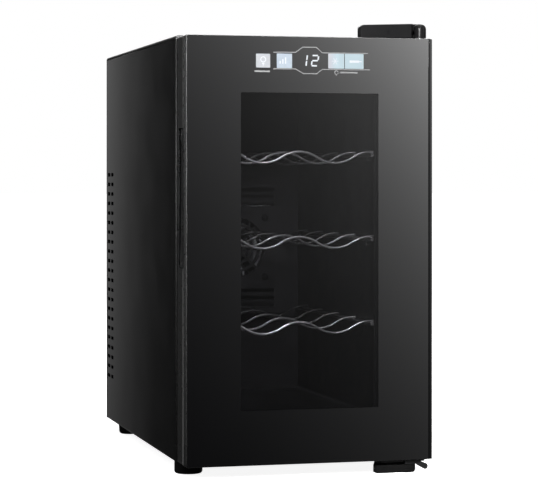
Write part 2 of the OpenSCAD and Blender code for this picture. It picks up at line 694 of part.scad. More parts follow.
module gasket_magnets() {
  a = 16.7;
  b = 22.3;
  color([0.3, 0.3, 0.3]) place() for (s = [-1, 1]) {
    box(s > 0 ? dhw - b : -dhw + a, s > 0 ? dhw - a : -dhw + b, cab - 6, cab - 2.6, dz0 + b + 0.4, dz1 - b - 0.4);
    box(-dhw + a, dhw - a, cab - 6, cab - 2.6, s > 0 ? dz1 - b : dz0 + a, s > 0 ? dz1 - a : dz0 + b);
  }
}

module handle_grip() {
  ya = frame_y + 10.5;
  zt = (grip_z0 + grip_z1) / 2;
  color([0.17, 0.17, 0.18]) place() difference() {
    union() {
      // bar, wider towards its lower end
      along_x(-dhw + 0.2, -dhw + 6) polygon([[ya, grip_z0 + 1], [ya + 13, grip_z0 + 1], [ya + 13, grip_z0 + 12], [ya + 8, grip_z0 + 30],
        [ya + 6, zt], [ya + 5.5, grip_z1 - 14], [ya + 9, grip_z1 - 12], [ya + 9, grip_z1 - 1], [ya, grip_z1 - 1]]);
      // two posts down to the pocket's floor
      for (z = [grip_z0 + 6, grip_z1 - 6]) translate([-dhw + 5, ya + 5, z]) rotate([0, 90, 0]) cylinder(r = 4.4, h = 9);
    }
    for (z = [grip_z0 + 6, grip_z1 - 6]) translate([-dhw - 1, ya + 5, z]) rotate([0, 90, 0]) {
      cylinder(r = 1.7, h = 16);
      cylinder(r = 2.7, h = 3.4);
    }
  }
}

module handle_screws() {
  color(steel) place() for (z = [grip_z0 + 6, grip_z1 - 6]) translate([-dhw + 0.2, frame_y + 15.5, z]) rotate([0, 90, 0]) {
    translate([0, 0, 1]) cylinder(r = 1.45, h = 21);
    difference() {
      translate([0, 0, 0.4]) cylinder(r = 2.5, h = 1.8);
      for (a = [0, 90]) rotate(a) translate([-1.6, -0.35, -1]) cube([3.2, 0.7, 2]);
    }
  }
}

module touch_board() {
  color([0.08, 0.3, 0.16]) place() {
    box(-70, 72, frame_y + 0.5, frame_y + 2.1, touch_z0 + 1, touch_z1 - 1);
    box(-60, -40, frame_y + 2.1, frame_y + 6, touch_z0 + 10, touch_z0 + 22);
    box(40, 62, frame_y + 2.1, frame_y + 7, touch_z0 + 6, touch_z0 + 16);
  }
}

module digit_display() { color([0.1, 0.1, 0.1]) place() box(-12, 13, glass_t + 0.2, frame_y + 0.4, key_z0 - 1, key_z0 + 17); }

module key_light_guides() {
  color([0.8, 0.88, 0.95]) place() for (p = [[-60.5, -45.5], [-38.2, -21.7], [18, 35.3], [39.3, 57]])
    box(p[0], p[1], glass_t + 0.2, frame_y + 0.4, key_z0 - 1, key_z0 + 15.4);
}

module hinge_bushings() {
  color([0.85, 0.85, 0.82]) place() for (s = [0, 1]) difference() {
    pin_z(pin_x, pin_yd, 5.1, s ? dz1 - 12.8 : dz0 + 0.1, s ? dz1 - 0.1 : dz0 + 12.8);
    pin_z(pin_x, pin_yd, pin_r + 0.06, s ? dz1 - 11.8 : dz0 - 1, s ? dz1 + 1 : dz0 + 11.8);
  }
}

// ---------------------------------------------------------------- racks

// one arc of wire of half angle a, its middle on the origin, bulging up when s is 1
module wire_arc(s, a0, a1) {
  translate([0, 0, -s * wave_r]) rotate([90, 0, 0]) rotate(s > 0 ? 90 - a1 : -90 - a1)
    rotate_extrude(angle = a1 - a0, $fn = 96) translate([wave_r, 0]) circle(wire_d / 2, $fn = 24);
}

module wavy_wire() {
  h = wave_h / 2;
  translate([0, 0, h]) wire_arc(1, -wave_a, wave_a);
  for (s = [-1, 1]) translate([s * wave_l / 2, 0, -h]) wire_arc(-1, -wave_a, wave_a);
  translate([-wave_l, 0, h]) wire_arc(1, 0, wave_a);
  translate([wave_l, 0, h]) wire_arc(1, -wave_a, 0);
  for (s = [-1, 1]) translate([s > 0 ? wave_l : -wave_l - 3.4, 0, h]) rotate([0, 90, 0]) cylinder(r = wire_d / 2, h = 3.4, $fn = 24);
  // each change of bend
  for (x = [-0.75 : 0.5 : 0.75]) translate([x * wave_l, 0, 0]) sphere(r = wire_d / 2 + 0.08, $fn = 24);
  for (x = [-1, 1]) translate([x * wave_l, 0, h]) sphere(r = wire_d / 2 + 0.08, $fn = 24);
}

module rack_wires(i) {
  color([0.85, 0.86, 0.88]) place() for (k = [0 : 4]) translate([0, rack_y + k * wire_pitch, rack_z + i * rack_pitch]) wavy_wire();
}

// the cross wires are welded 0.2 mm into the rails
module rack_rails(i) {
  zc = rack_z + i * rack_pitch + wave_h / 2 - wire_d / 2 - rail_r + 0.2;
  color([0.8, 0.81, 0.83]) place() for (s = [-1, 1]) translate([s * rail_x, rack_y - 2, zc]) rotate([-90, 0, 0]) cylinder(r = rail_r, h = 270, $fn = 32);
}

module rack_top_wires() { rack_wires(2); }
module rack_top_rails() { rack_rails(2); }
module rack_middle_wires() { rack_wires(1); }
module rack_middle_rails() { rack_rails(1); }
module rack_bottom_wires() { rack_wires(0); }
module rack_bottom_rails() { rack_rails(0); }

left_side_panel();
right_side_panel();
top_panel();
base_pan();
front_frame();
inner_liner();
insulation_foam();
back_plate();
rear_cover();
wall_spacers();
rear_cover_screws();
front_left_foot();
hinge_foot();
rear_feet();
foot_screws();
hot_heatsink();
hot_fan_frame();
hot_fan_rotor();
peltier_module();
module_gasket();
cold_block();
cold_heatsink();
clamp_screws();
cold_fan_frame();
cold_fan_rotor();
air_duct_cover();
fan_screws();
power_board();
power_inlet();
lamp_lens();
lamp_board();
temperature_sensor();
wiring_loom();
top_hinge_bracket();
top_hinge_pin();
top_hinge_cover();
bottom_hinge_bracket();
bottom_hinge_pin();
hinge_screws();
outer_glass();
door_bezel();
door_frame();
inner_glass();
glazing_spacer();
door_gasket();
gasket_magnets();
handle_grip();
handle_screws();
touch_board();
digit_display();
key_light_guides();
hinge_bushings();
rack_top_wires();
rack_top_rails();
rack_middle_wires();
rack_middle_rails();
rack_bottom_wires();
rack_bottom_rails();
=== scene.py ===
import json
import math

import bmesh
import bpy
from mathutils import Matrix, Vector

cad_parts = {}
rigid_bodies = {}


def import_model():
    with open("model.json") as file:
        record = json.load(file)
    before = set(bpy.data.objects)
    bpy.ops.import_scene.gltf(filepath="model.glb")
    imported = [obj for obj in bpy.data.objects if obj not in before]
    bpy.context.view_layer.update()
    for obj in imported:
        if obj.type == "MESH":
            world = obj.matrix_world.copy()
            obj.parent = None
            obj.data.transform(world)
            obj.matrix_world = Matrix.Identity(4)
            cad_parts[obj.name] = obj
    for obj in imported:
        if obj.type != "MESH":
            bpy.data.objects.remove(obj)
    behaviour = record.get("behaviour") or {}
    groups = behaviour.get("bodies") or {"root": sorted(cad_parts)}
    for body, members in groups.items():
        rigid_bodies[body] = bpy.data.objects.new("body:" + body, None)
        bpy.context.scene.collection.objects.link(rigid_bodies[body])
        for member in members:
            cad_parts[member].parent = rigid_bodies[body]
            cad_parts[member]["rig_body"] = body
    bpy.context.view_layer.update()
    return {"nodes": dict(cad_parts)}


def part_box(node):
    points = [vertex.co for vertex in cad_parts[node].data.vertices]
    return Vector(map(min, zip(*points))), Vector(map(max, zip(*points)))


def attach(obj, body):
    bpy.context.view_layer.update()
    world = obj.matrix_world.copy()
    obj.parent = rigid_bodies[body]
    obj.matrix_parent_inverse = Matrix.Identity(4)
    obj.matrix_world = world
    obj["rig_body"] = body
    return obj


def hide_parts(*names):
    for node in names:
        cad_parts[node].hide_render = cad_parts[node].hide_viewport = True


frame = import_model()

scene = bpy.context.scene
MM = 0.001


# ---------------------------------------------------------------- node helpers
def new_mat(name):
    m = bpy.data.materials.new(name)
    m.use_nodes = True
    m.node_tree.nodes.clear()
    return m, m.node_tree.nodes, m.node_tree.links


def add(nodes, kind, **values):
    n = nodes.new(kind)
    for k, v in values.items():
        setattr(n, k, v)
    return n


def noise(nodes, links, scale, detail=4.0, stretch=None, rough=0.55):
    tc = add(nodes, "ShaderNodeTexCoord")
    src = tc.outputs["Object"]
    if stretch:
        mp = add(nodes, "ShaderNodeMapping")
        mp.inputs["Scale"].default_value = stretch
        links.new(src, mp.inputs["Vector"])
        src = mp.outputs["Vector"]
    n = add(nodes, "ShaderNodeTexNoise")
    n.inputs["Scale"].default_value = scale
    n.inputs["Detail"].default_value = detail
    n.inputs["Roughness"].default_value = rough
    links.new(src, n.inputs["Vector"])
    return n.outputs[0]


def ramp(nodes, links, fac, stops):
    r = add(nodes, "ShaderNodeValToRGB")
    e = r.color_ramp.elements
    while len(e) < len(stops):
        e.new(0.5)
    for el, (p, c) in zip(e, stops):
        el.position = p
        el.color = (*c, 1.0)
    links.new(fac, r.inputs["Fac"])
    return r.outputs["Color"]


def to_range(nodes, links, fac, lo, hi, a=0.3, b=0.7):
    r = add(nodes, "ShaderNodeMapRange")
    r.inputs["From Min"].default_value = a
    r.inputs["From Max"].default_value = b
    r.inputs["To Min"].default_value = lo
    r.inputs["To Max"].default_value = hi
    links.new(fac, r.inputs["Value"])
    return r.outputs["Result"]


def surface(name, base, rough, metallic=0.0, ior=1.5, var=0.2, scale=35.0, rvar=0.05, bump=0.0, bscale=900.0,
            stretch=None, coat=0.0, coat_rough=0.1, glow=None, detail=4.0):
    """A procedural finish: broad tone changes, roughness changes and a fine relief."""
    m, nodes, links = new_mat(name)
    out = add(nodes, "ShaderNodeOutputMaterial")
    p = add(nodes, "ShaderNodeBsdfPrincipled")
    links.new(p.outputs["BSDF"], out.inputs["Surface"])
    tone = noise(nodes, links, scale, detail, stretch)
    lo = [c * (1 - var) for c in base]
    hi = [min(1.0, c * (1 + var)) for c in base]
    links.new(ramp(nodes, links, tone, [(0.3, lo), (0.7, hi)]), p.inputs["Base Color"])
    grain = noise(nodes, links, scale * 2.3, 6.0, stretch)
    links.new(to_range(nodes, links, grain, max(0.02, rough - rvar), rough + rvar), p.inputs["Roughness"])
    p.inputs["Metallic"].default_value = metallic
    p.inputs["IOR"].default_value = ior
    if coat:
        p.inputs["Coat Weight"].default_value = coat
        p.inputs["Coat Roughness"].default_value = coat_rough
    if bump:
        b = add(nodes, "ShaderNodeBump")
        b.inputs["Strength"].default_value = 1.0
        b.inputs["Distance"].default_value = bump
        links.new(noise(nodes, links, bscale, 3.0, stretch), b.inputs["Height"])
        links.new(b.outputs["Normal"], p.inputs["Normal"])
    if glow:
        links.new(ramp(nodes, links, grain, [(0.3, [c * 0.88 for c in glow]), (0.7, list(glow))]), p.inputs["Emission Color"])
        p.inputs["Emission Strength"].default_value = 1.0
    return m


def glass(name, tint, ior, rough=0.02, haze=0.0):
    """A thin sheet: clear through, with a mirror reflection from whichever side is looked at."""
    m, nodes, links = new_mat(name)
    out = add(nodes, "ShaderNodeOutputMaterial")
    clear = add(nodes, "ShaderNodeBsdfTransparent")
    gloss = add(nodes, "ShaderNodeBsdfGlossy")
    gloss.inputs["Roughness"].default_value = rough
    gloss.inputs["Color"].default_value = (1, 1, 1, 1)
    fr = add(nodes, "ShaderNodeFresnel")
    fr.inputs["IOR"].default_value = ior
    geo = add(nodes, "ShaderNodeNewGeometry")
    front = add(nodes, "ShaderNodeMath", operation="SUBTRACT")
    front.inputs[0].default_value = 1.0
    links.new(geo.outputs["Backfacing"], front.inputs[1])
    fac = add(nodes, "ShaderNodeMath", operation="MULTIPLY")
    links.new(fr.outputs[0], fac.inputs[0])
    links.new(front.outputs[0], fac.inputs[1])
    tone = noise(nodes, links, 6.0, 2.0)
    lo, hi = [c * 0.97 for c in tint], [min(1.0, c * 1.03) for c in tint]
    links.new(ramp(nodes, links, tone, [(0.35, lo), (0.65, hi)]), clear.inputs["Color"])
    mix = add(nodes, "ShaderNodeMixShader")
    links.new(fac.outputs[0], mix.inputs[0])
    links.new(clear.outputs[0], mix.inputs[1])
    links.new(gloss.outputs[0], mix.inputs[2])
    links.new(mix.outputs[0], out.inputs["Surface"])
    return m


# ---------------------------------------------------------------- finishes, one for each material slot
MATS = {
    "painted_steel": surface("satin_black_paint", (0.0055, 0.0055, 0.0058), 0.13, ior=1.5, var=0.15, scale=9, rvar=0.015, bump=0.000004, bscale=420),
    "pan_steel": surface("base_pan_paint", (0.016, 0.016, 0.017), 0.42, var=0.2, scale=14, bump=0.00008, bscale=600),
    "trim_plastic": surface("front_trim", (0.014, 0.014, 0.015), 0.38, var=0.15, scale=20, bump=0.00005, bscale=1500),
    "liner_plastic": surface("inner_lining", (0.0095, 0.0095, 0.0105), 0.38, var=0.18, scale=12, rvar=0.05, bump=0.00005, bscale=700),
    "foam": surface("rigid_foam", (0.72, 0.6, 0.33), 0.85, var=0.15, scale=60, bump=0.0006, bscale=380),
    "galvanised": surface("galvanised_sheet", (0.5, 0.51, 0.52), 0.36, metallic=1.0, var=0.22, scale=110, rvar=0.1, detail=1.0),
    "cover_plastic": surface("rear_cover_grain", (0.018, 0.018, 0.019), 0.5, var=0.15, scale=25, bump=0.00015, bscale=1400),
    "rubber_black": surface("foot_rubber", (0.004, 0.004, 0.004), 0.5, ior=1.22, var=0.25, scale=70, bump=0.0001, bscale=1800),
    "screw_steel": surface("zinc_screws", (0.52, 0.52, 0.54), 0.3, metallic=1.0, var=0.18, scale=260, rvar=0.08, bump=0.00003, bscale=2400),
    "aluminium": surface("extruded_aluminium", (0.66, 0.67, 0.69), 0.34, metallic=1.0, var=0.1, scale=60, rvar=0.08, stretch=(1, 1, 0.05), bump=0.00004, bscale=1600),
    "fan_plastic": surface("fan_frame_plastic", (0.008, 0.008, 0.0085), 0.42, var=0.15, scale=40, bump=0.00004, bscale=1700),
    "rotor_plastic": surface("fan_rotor_plastic", (0.011, 0.011, 0.012), 0.4, var=0.15, scale=40, bump=0.00003, bscale=1700),
    "ceramic": surface("white_ceramic", (0.78, 0.77, 0.72), 0.5, var=0.06, scale=120, bump=0.00004, bscale=2000),
    "closed_cell": surface("cell_rubber", (0.03, 0.03, 0.03), 0.8, var=0.3, scale=300, bump=0.0004, bscale=900),
    "circuit_board": surface("board_laminate", (0.02, 0.16, 0.06), 0.3, var=0.25, scale=150, rvar=0.06, coat=0.4),
    "socket_plastic": surface("inlet_plastic", (0.012, 0.012, 0.012), 0.3, var=0.2, scale=90, bump=0.00003, bscale=2000),
    "lens_plastic": surface("frosted_lens", (0.75, 0.82, 0.9), 0.42, var=0.05, scale=80, bump=0.00006, bscale=1200),
    "sensor_plastic": surface("sensor_plastic", (0.6, 0.6, 0.57), 0.45, var=0.06, scale=120, bump=0.00004, bscale=1600),
    "wire_jacket": surface("lead_jackets", (0.4, 0.03, 0.03), 0.35, var=0.2, scale=120, bump=0.00003, bscale=1500),
    "hinge_steel": surface("blackened_steel", (0.012, 0.012, 0.0125), 0.36, metallic=0.2, var=0.3, scale=90, rvar=0.08, bump=0.00004, bscale=1700),
    "pin_steel": surface("ground_pin", (0.6, 0.6, 0.62), 0.2, metallic=1.0, var=0.12, scale=200, rvar=0.06),
    "hinge_plastic": surface("hinge_cover_plastic", (0.004, 0.004, 0.0042), 0.3, ior=1.2, var=0.15, scale=45, rvar=0.04, bump=0.00003, bscale=1500),
    "tinted_glass": glass("smoked_glass", (0.68, 0.678, 0.685), 1.45),
    "clear_glass": glass("inner_pane_glass", (0.92, 0.92, 0.925), 1.3),
    "door_plastic": surface("door_plastic", (0.009, 0.009, 0.0093), 0.29, var=0.15, scale=30, rvar=0.03, bump=0.000006, bscale=900),
    "seal_rubber": surface("door_seal", (0.02, 0.02, 0.02), 0.6, ior=1.45, var=0.2, scale=60, bump=0.00008, bscale=1600),
    "magnet": surface("magnet_strip", (0.03, 0.03, 0.03), 0.7, var=0.2, scale=90),
    "display_plastic": surface("display_body", (0.01, 0.01, 0.012), 0.3, var=0.2, scale=90),
    "light_guide": surface("light_guides", (0.7, 0.8, 0.9), 0.35, var=0.05, scale=90),
    "nylon": surface("nylon_bush", (0.7, 0.7, 0.66), 0.45, var=0.06, scale=160, bump=0.00004, bscale=1800),
    "chrome_wire": surface("bright_chrome", (0.88, 0.88, 0.88), 0.3, metallic=1.0, var=0.05, scale=120, rvar=0.03),
}


def wire_with_painted_depth_shade():
    """Wire whose base colour is painted darker towards the back of the bottle space: painted shade standing in for the
    light falling off inside.
    """
    m, nodes, links = new_mat("wire_painted_depth_shade")
    out = add(nodes, "ShaderNodeOutputMaterial")
    p = add(nodes, "ShaderNodeBsdfPrincipled")
    links.new(p.outputs["BSDF"], out.inputs["Surface"])
    tc = add(nodes, "ShaderNodeTexCoord")
    sep = add(nodes, "ShaderNodeSeparateXYZ")
    links.new(tc.outputs["Object"], sep.inputs[0])
    back = to_range(nodes, links, sep.outputs["Y"], 0, 1, -0.21, 0.08)
    wob = add(nodes, "ShaderNodeMath", operation="MULTIPLY_ADD")
    links.new(noise(nodes, links, 90, 3.0), wob.inputs[0])
    wob.inputs[1].default_value = 0.06
    links.new(back, wob.inputs[2])
    # painted shade: the wire's base colour darkens from the front of the bottle space to its back
    links.new(ramp(nodes, links, wob.outputs[0], [(0.08, (0.96, 0.96, 0.97)), (0.3, (0.6, 0.6, 0.6)), (0.55, (0.2, 0.2, 0.2)), (1.0, (0.08, 0.08, 0.08))]), p.inputs["Base Color"])
    links.new(to_range(nodes, links, noise(nodes, links, 260, 3.0), 0.27, 0.34), p.inputs["Roughness"])
    p.inputs["Metallic"].default_value = 1.0
    return m


MATS["chrome_wire"] = wire_with_painted_depth_shade()
PRINT = surface("black_printed_glass", (0.0007, 0.0007, 0.0009), 0.03, ior=1.93, var=0.2, scale=5, rvar=0.01)
TRIM = surface("door_edge_trim", (0.003, 0.003, 0.0032), 0.07, ior=1.5, var=0.2, scale=40, rvar=0.015)


def painted_highlight_by_height(name, stops, rough):
    """An upright edge with a painted highlight: its base colour follows the height and stands in for the light the edge
    catches.
    """
    m, nodes, links = new_mat(name)
    out = add(nodes, "ShaderNodeOutputMaterial")
    p = add(nodes, "ShaderNodeBsdfPrincipled")
    links.new(p.outputs["BSDF"], out.inputs["Surface"])
    tc = add(nodes, "ShaderNodeTexCoord")
    sep = add(nodes, "ShaderNodeSeparateXYZ")
    links.new(tc.outputs["Object"], sep.inputs[0])
    up = to_range(nodes, links, sep.outputs["Z"], 0, 1, 0.0, 0.47)
    wob = add(nodes, "ShaderNodeMath", operation="MULTIPLY_ADD")
    links.new(noise(nodes, links, 30, 3.0), wob.inputs[0])
    wob.inputs[1].default_value = 0.06
    links.new(up, wob.inputs[2])
    # painted highlight: the base colour is ramped over the height
    links.new(ramp(nodes, links, wob.outputs[0], [(q, (v, v, v)) for q, v in stops]), p.inputs["Base Color"])
    links.new(to_range(nodes, links, noise(nodes, links, 120, 3.0), rough - 0.06, rough + 0.06), p.inputs["Roughness"])
    return m


# painted highlight on the glass edges, lighter towards the top
EDGE_HIGHLIGHT = painted_highlight_by_height("glass_edge_painted_highlight", [(0.03, 0.012), (0.4, 0.045), (0.75, 0.12), (1.0, 0.14)], 0.3)
# painted highlight on the rolled front edge of the side panels, brightest high up and darker towards the bottom
ROLLED_EDGE_HIGHLIGHT = painted_highlight_by_height("rolled_edge_painted_highlight", [(0.03, 0.004), (0.2, 0.01), (0.45, 0.03), (0.75, 0.11), (1.0, 0.055)], 0.24)
# painted highlight on the door frame's side bead, lighter towards the bottom
BEAD_HIGHLIGHT = painted_highlight_by_height("door_bead_painted_highlight", [(0.03, 0.2), (0.4, 0.15), (0.75, 0.11), (1.0, 0.085)], 0.3)
INK_GREY = surface("ink_grey", (0.06, 0.06, 0.06), 0.4, var=0.05, scale=300, glow=(0.16, 0.165, 0.17))
INK_KEY = surface("ink_key", (0.05, 0.05, 0.052), 0.4, var=0.12, scale=160, glow=(0.36, 0.385, 0.42))
INK_BLUE = surface("ink_pale_blue", (0.05, 0.055, 0.06), 0.4, var=0.14, scale=120, glow=(0.32, 0.4, 0.49))


def blend_ink(name, x0, x1, a, b):
    """A self-lit print that changes colour along X."""
    m, nodes, links = new_mat(name)
    out = add(nodes, "ShaderNodeOutputMaterial")
    p = add(nodes, "ShaderNodeBsdfPrincipled")
    links.new(p.outputs["BSDF"], out.inputs["Surface"])
    tc = add(nodes, "ShaderNodeTexCoord")
    sep = add(nodes, "ShaderNodeSeparateXYZ")
    links.new(tc.outputs["Object"], sep.inputs[0])
    t = to_range(nodes, links, sep.outputs["X"], 0, 1, x0, x1)
    wob = add(nodes, "ShaderNodeMath", operation="MULTIPLY_ADD")
    links.new(noise(nodes, links, 120, 3.0), wob.inputs[0])
    wob.inputs[1].default_value = 0.25
    links.new(t, wob.inputs[2])
    links.new(ramp(nodes, links, wob.outputs[0], [(0.1, a), (0.75, b), (1.0, [c * 0.92 for c in b])]), p.inputs["Emission Color"])
    p.inputs["Emission Strength"].default_value = 1.0
    p.inputs["Base Color"].default_value = (0.05, 0.055, 0.058, 1)
    links.new(to_range(nodes, links, noise(nodes, links, 200, 3.0), 0.32, 0.45), p.inputs["Roughness"])
    return m


INK_PAIR = blend_ink("ink_pair", 0.018, 0.034, (0.42, 0.4, 0.45), (0.37, 0.5, 0.56))
INK_WHITE = surface("ink_white", (0.08, 0.085, 0.09), 0.4, var=0.06, scale=300, glow=(0.6, 0.63, 0.67))
BLACKED = surface("blacked_screws", (0.022, 0.022, 0.023), 0.38, metallic=1.0, var=0.18, scale=260, rvar=0.08, bump=0.00003, bscale=2400)


for n, o in frame["nodes"].items():
    for s in o.material_slots:
        name = s.material.name.split(".")[0]
        s.material = BLACKED if n == "fan_screws" else MATS[name]

BODY = {n: o["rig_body"] for n, o in frame["nodes"].items()}


def shown(name, bm, mats, body, smooth=35.0):
    """Makes a piece of the object out of a bmesh and lets it ride on a body."""
    bmesh.ops.recalc_face_normals(bm, faces=bm.faces)
    me = bpy.data.meshes.new(name)
    bm.to_mesh(me)
    bm.free()
    for m in mats:
        me.materials.append(m)
    me.shade_smooth()
    o = bpy.data.objects.new(name, me)
    scene.collection.objects.link(o)
    if smooth:
        me.set_sharp_from_angle(angle=math.radians(smooth))
    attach(o, body)
    return o


def rounded(node, width, segments=2, angle=32.0, name=None, second=None, pick=None):
    """A copy of a CAD node with its sharp edges rounded, shown in its place; picked faces get a second material, here a
    painted highlight.
    """
    src = frame["nodes"][node]
    bm = bmesh.new()
    bm.from_mesh(src.data)
    bmesh.ops.remove_doubles(bm, verts=bm.verts, dist=2e-6)
    bmesh.ops.dissolve_limit(bm, angle_limit=math.radians(0.6), verts=bm.verts, edges=bm.edges)
    bm.normal_update()
    if second:
        for f in bm.faces:
            if pick(f.calc_center_median(), f.normal):
                f.material_index = 1
    me = bpy.data.meshes.new(name or node + "_finished")
    bm.to_mesh(me)
    bm.free()
    for s in src.material_slots:
        me.materials.append(s.material)
    if second:
        me.materials.append(second)
    me.shade_smooth()
    o = bpy.data.objects.new(me.name, me)
    scene.collection.objects.link(o)
    b = o.modifiers.new("edges", "BEVEL")
    b.width = width
    b.segments = segments
    b.limit_method = "ANGLE"
    b.angle_limit = math.radians(angle)
    b.harden_normals = True
    b.use_clamp_overlap = True
    b.miter_outer = "MITER_ARC"
    w = o.modifiers.new("normals", "WEIGHTED_NORMAL")
    w.keep_sharp = True
    w.mode = "FACE_AREA"
    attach(o, BODY[node])
    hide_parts(node)
    return o


# ---------------------------------------------------------------- the outer pane
def rrect(x0, x1, z0, z1, r, n=6):
    pts = []
    for cx, cz, a in ((x1 - r, z1 - r, 0), (x0 + r, z1 - r, 90), (x0 + r, z0 + r, 180), (x1 - r, z0 + r, 270)):
        for i in range(n + 1):
            t = math.radians(a + 90 * i / n)
            pts.append((cx + r * math.cos(t), cz + r * math.sin(t)))
    return pts


glass_lo, glass_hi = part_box("outer_glass")
WIN = (-0.0762, 0.0738, 0.0712, 0.4030)


def make_pane():
    bm = bmesh.new()
    x0, x1, z0, z1 = glass_lo.x, glass_hi.x - 0.0042, glass_lo.z, glass_hi.z
    y0, y1 = glass_lo.y + 0.00012, glass_hi.y
    e = 0.0004
    levels = [(e, y0), (e * 0.3, y0 + e * 0.3), (0.0, y0 + e), (0.0, y1 - e), (e * 0.3, y1 - e * 0.3), (e, y1)]
    loops = []
    for inset, y in levels:
        loops.append([bm.verts.new((x, y, z)) for x, z in rrect(x0 + inset, x1 - inset, z0 + inset, z1 - inset, 0.002 - inset)])
    win = [[bm.verts.new((x, y, z)) for x, z in rrect(*WIN, 0.0012)] for y in (y0, y1)]

    def band(a, b, mat):
        n = len(a)
        for i in range(n):
            f = bm.faces.new((a[i], a[(i + 1) % n], b[(i + 1) % n], b[i]))
            f.material_index = 1 if mat == 2 and f.calc_center_median().x > x1 - 0.003 else mat

    # the chamfer rings take the painted edge highlight, except on the hinge side, which takes the print
    for i in range(len(loops) - 1):
        band(loops[i], loops[i + 1], 2)
    band(win[0], loops[0], 1)
    band(loops[-1], win[1], 1)
    for w in win:
        bm.faces.new(w).material_index = 0
    pane = shown("outer_pane", bm, [MATS["tinted_glass"], PRINT, EDGE_HIGHLIGHT], "door", 6)
    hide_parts("outer_glass")
    # upright trim strip beside it on the hinge side
    bm = bmesh.new()
    a, b = glass_hi.x - 0.0041, glass_hi.x
    e = 0.0009
    prof = [(a, y1), (a, y0 + 0.0005), (a + 0.0004, y0 + 0.0002), (b - e, y0 + 0.0002)]
    prof += [(b - e + e * math.sin(math.radians(t)), y0 + 0.0002 + e - e * math.cos(math.radians(t))) for t in (22, 45, 68, 90)]
    prof += [(b, y1)]
    lo = [bm.verts.new((x, y, z0 + 0.0004)) for x, y in prof]
    hi = [bm.verts.new((x, y, z1 - 0.0004)) for x, y in prof]
    n = len(prof)
    for i in range(n):
        bm.faces.new((lo[i], lo[(i + 1) % n], hi[(i + 1) % n], hi[i]))
    bm.faces.new(lo)
    bm.faces.new(list(reversed(hi)))
    strip_ = shown("door_edge_strip", bm, [TRIM], "door", 40)
    wn = strip_.modifiers.new("normals", "WEIGHTED_NORMAL")
    wn.weight = 100
    return pane


make_pane()

# ---------------------------------------------------------------- printed keys, digits and outline
Y_INK = glass_lo.y + 0.00002
Y_BACK = glass_lo.y + 0.0002


def plate(bm, pts, mat=0, y0=Y_INK, y1=Y_BACK):
    """A thin flat shape with the outline pts (x, z in mm)."""
    pts = [(x * 0.9963 + 0.51, z - 0.75) for x, z in pts]
    a = [bm.verts.new((x * MM, y0, z * MM)) for x, z in pts]
    b = [bm.verts.new((x * MM, y1, z * MM)) for x, z in pts]
    n = len(pts)
    bm.faces.new(a).material_index = mat
    bm.faces.new(list(reversed(b))).material_index = mat
    for i in range(n):
        bm.faces.new((a[i], b[i], b[(i + 1) % n], a[(i + 1) % n])).material_index = mat


def strip(bm, pts, w, mat=0):
    """A line of width w along pts."""
    left, right = [], []
    for i, p in enumerate(pts):
        a = Vector(pts[max(0, i - 1)])
        b = Vector(pts[min(len(pts) - 1, i + 1)])
        d = (b - a).normalized()
        nrm = Vector((-d.y, d.x)) * w / 2
        left.append((p[0] + nrm.x, p[1] + nrm.y))
        right.append((p[0] - nrm.x, p[1] - nrm.y))
    for i in range(len(pts) - 1):
        plate(bm, [left[i], left[i + 1], right[i + 1], right[i]], mat)


def ring(bm, cx, cz, r, w, n=28, a0=0, a1=360, mat=0):
    pts = [(cx + r * math.cos(math.radians(a0 + (a1 - a0) * i / n)), cz + r * math.sin(math.radians(a0 + (a1 - a0) * i / n))) for i in range(n + 1)]
    strip(bm, pts, w, mat)


def rect(x0, x1, z0, z1):
    return [(x0, z0), (x1, z0), (x1, z1), (x0, z1)]


bm = bmesh.new()
plate(bm, [(x, z) for x, z in rrect(-60.7, -45.4, 429.7, 444.1, 0.6, 3)])
key_light = shown("key_light_patch", bm, [INK_KEY], "door")
bm = bmesh.new()
plate(bm, rrect(-38.2, -21.6, 429.4, 444.6, 0.6, 3))
key_lock = shown("key_unit_patch", bm, [INK_BLUE], "door")
bm = bmesh.new()
plate(bm, rrect(18.0, 35.6, 429.7, 445.4, 0.6, 3))
plate(bm, rrect(36.4, 57.0, 429.7, 445.4, 0.6, 3))
key_pair = shown("key_pair_patch", bm, [INK_PAIR], "door")
# labels as plain bars
bm = bmesh.new()
plate(bm, rrect(-62.4, -45.6, 424.9, 426.6, 0.5, 2))
plate(bm, rrect(30.5, 50.4, 424.8, 426.4, 0.5, 2))
ring(bm, 27.0, 425.5, 1.9, 0.7)
plate(bm, rect(26.5, 27.5, 422.4, 423.8))
labels = shown("key_labels", bm, [INK_GREY], "door")
# outline round the display
bm = bmesh.new()
strip(bm, [(-41.9, 445.9), (-17.7, 446.2), (-10.0, 451.6), (4.9, 451.8), (11.5, 446.0), (61.8, 446.2)], 0.9)
strip(bm, [(-41.9, 428.6), (-17.7, 428.7), (-9.4, 423.9), (5.4, 424.1), (11.5, 428.6), (64.3, 428.8)], 0.9)
outline = shown("panel_outline", bm, [INK_GREY], "door")
# digits, made of slanted bars
bm = bmesh.new()


def seg(x0, z0, x1, z1, w=1.5):
    strip(bm, [(x0, z0), (x1, z1)], w)


seg(-5.5, 438.3, -4.9, 443.2)
seg(-6.3, 432.2, -5.7, 437.2)
seg(0.9, 443.1, 6.6, 443.1)
seg(6.9, 438.4, 7.4, 442.5)
seg(0.6, 437.7, 6.4, 437.7)
seg(-0.4, 432.9, 0.1, 437.1)
seg(-0.2, 432.3, 5.6, 432.3)
digits = shown("display_digits", bm, [INK_WHITE], "door")
# key symbols: a lamp, a degree scale, a snow star and a bottle
bm = bmesh.new()


